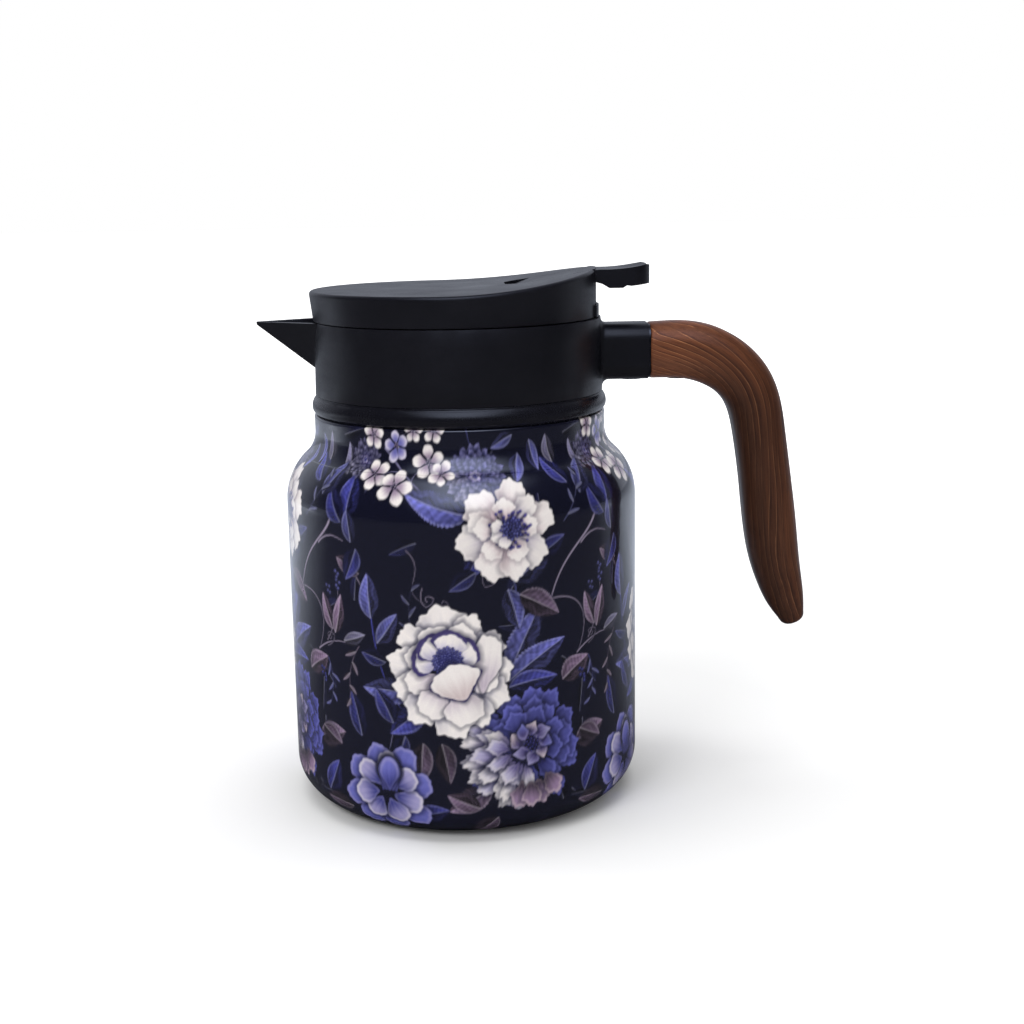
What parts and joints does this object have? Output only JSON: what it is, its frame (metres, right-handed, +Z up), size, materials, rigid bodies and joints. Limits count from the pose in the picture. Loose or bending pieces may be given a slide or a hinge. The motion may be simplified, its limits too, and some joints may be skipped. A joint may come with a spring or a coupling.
{
  "type": "vacuum jug",
  "caption": "Insulated table jug with an open V beak, a screw-in lid whose thumb lever lifts a pouring valve, and a curved wooden grip.",
  "frame": {"origin": "centre of the foot ring on the jug's axis", "axes": "+Z up along the jug's axis, +X towards the handle, -X towards the beak"},
  "size_m": [0.1879, 0.12, 0.1817],
  "materials": {
    "printed_steel": "gloss lacquer over a floral print",
    "black_plastic": "satin",
    "walnut": "satin oiled",
    "brushed_steel": "brushed",
    "bright_steel": "polished",
    "silicone": "matte, milky"
  },
  "bodies": {
    "jug": {"outer_shell": "printed_steel", "inner_liner": "brushed_steel", "outer_base": "brushed_steel", "getter_cap": "brushed_steel", "trim_ring": "black_plastic", "neck_gasket": "silicone", "collar": "black_plastic", "handle_tang": "brushed_steel", "handle_spacer": "bright_steel", "grip": "walnut", "handle_screws": "bright_steel"},
    "seal_ring": {"stopper_seal": "silicone"},
    "lid": {"lid_cover": "black_plastic", "stopper_body": "black_plastic", "stopper_base": "black_plastic", "lid_screws": "bright_steel", "stem_gasket": "silicone", "lever_pin": "bright_steel", "valve_spring": "bright_steel"},
    "lever": {"thumb_lever": "black_plastic"},
    "valve": {"valve_stem": "bright_steel", "stem_pin": "bright_steel", "valve_seal": "silicone", "valve_plug": "black_plastic", "stem_clip": "bright_steel"}
  },
  "joints": [
    {"name": "lid_rise", "type": "slide", "parent": "jug", "child": "seal_ring", "axis": [0, 0, 1], "range_m": [0, 0.0361]},
    {"name": "lid_turn", "type": "hinge", "parent": "seal_ring", "child": "lid", "pos_m": [0, 0, 0.15], "axis": [0, 0, 1], "range_deg": [0, 360]},
    {"name": "lever_press", "type": "hinge", "parent": "lid", "child": "lever", "pos_m": [0.03, 0, 0.1725], "axis": [0, 1, 0], "range_deg": [0, 9]},
    {"name": "valve_lift", "type": "slide", "parent": "lid", "child": "valve", "axis": [0, 0, 1], "range_m": [0, 0.00482], "stiffness_N_per_m": 300, "springref_m": -0.004, "deforming": ["valve_spring"]}
  ],
  "couplings": [
    {"joint": "lid_rise", "follows": "lid_turn", "m_per_rad": 0.0057296},
    {"joint": "valve_lift", "follows": "lever_press", "m_per_rad": 0.0305}
  ]
}
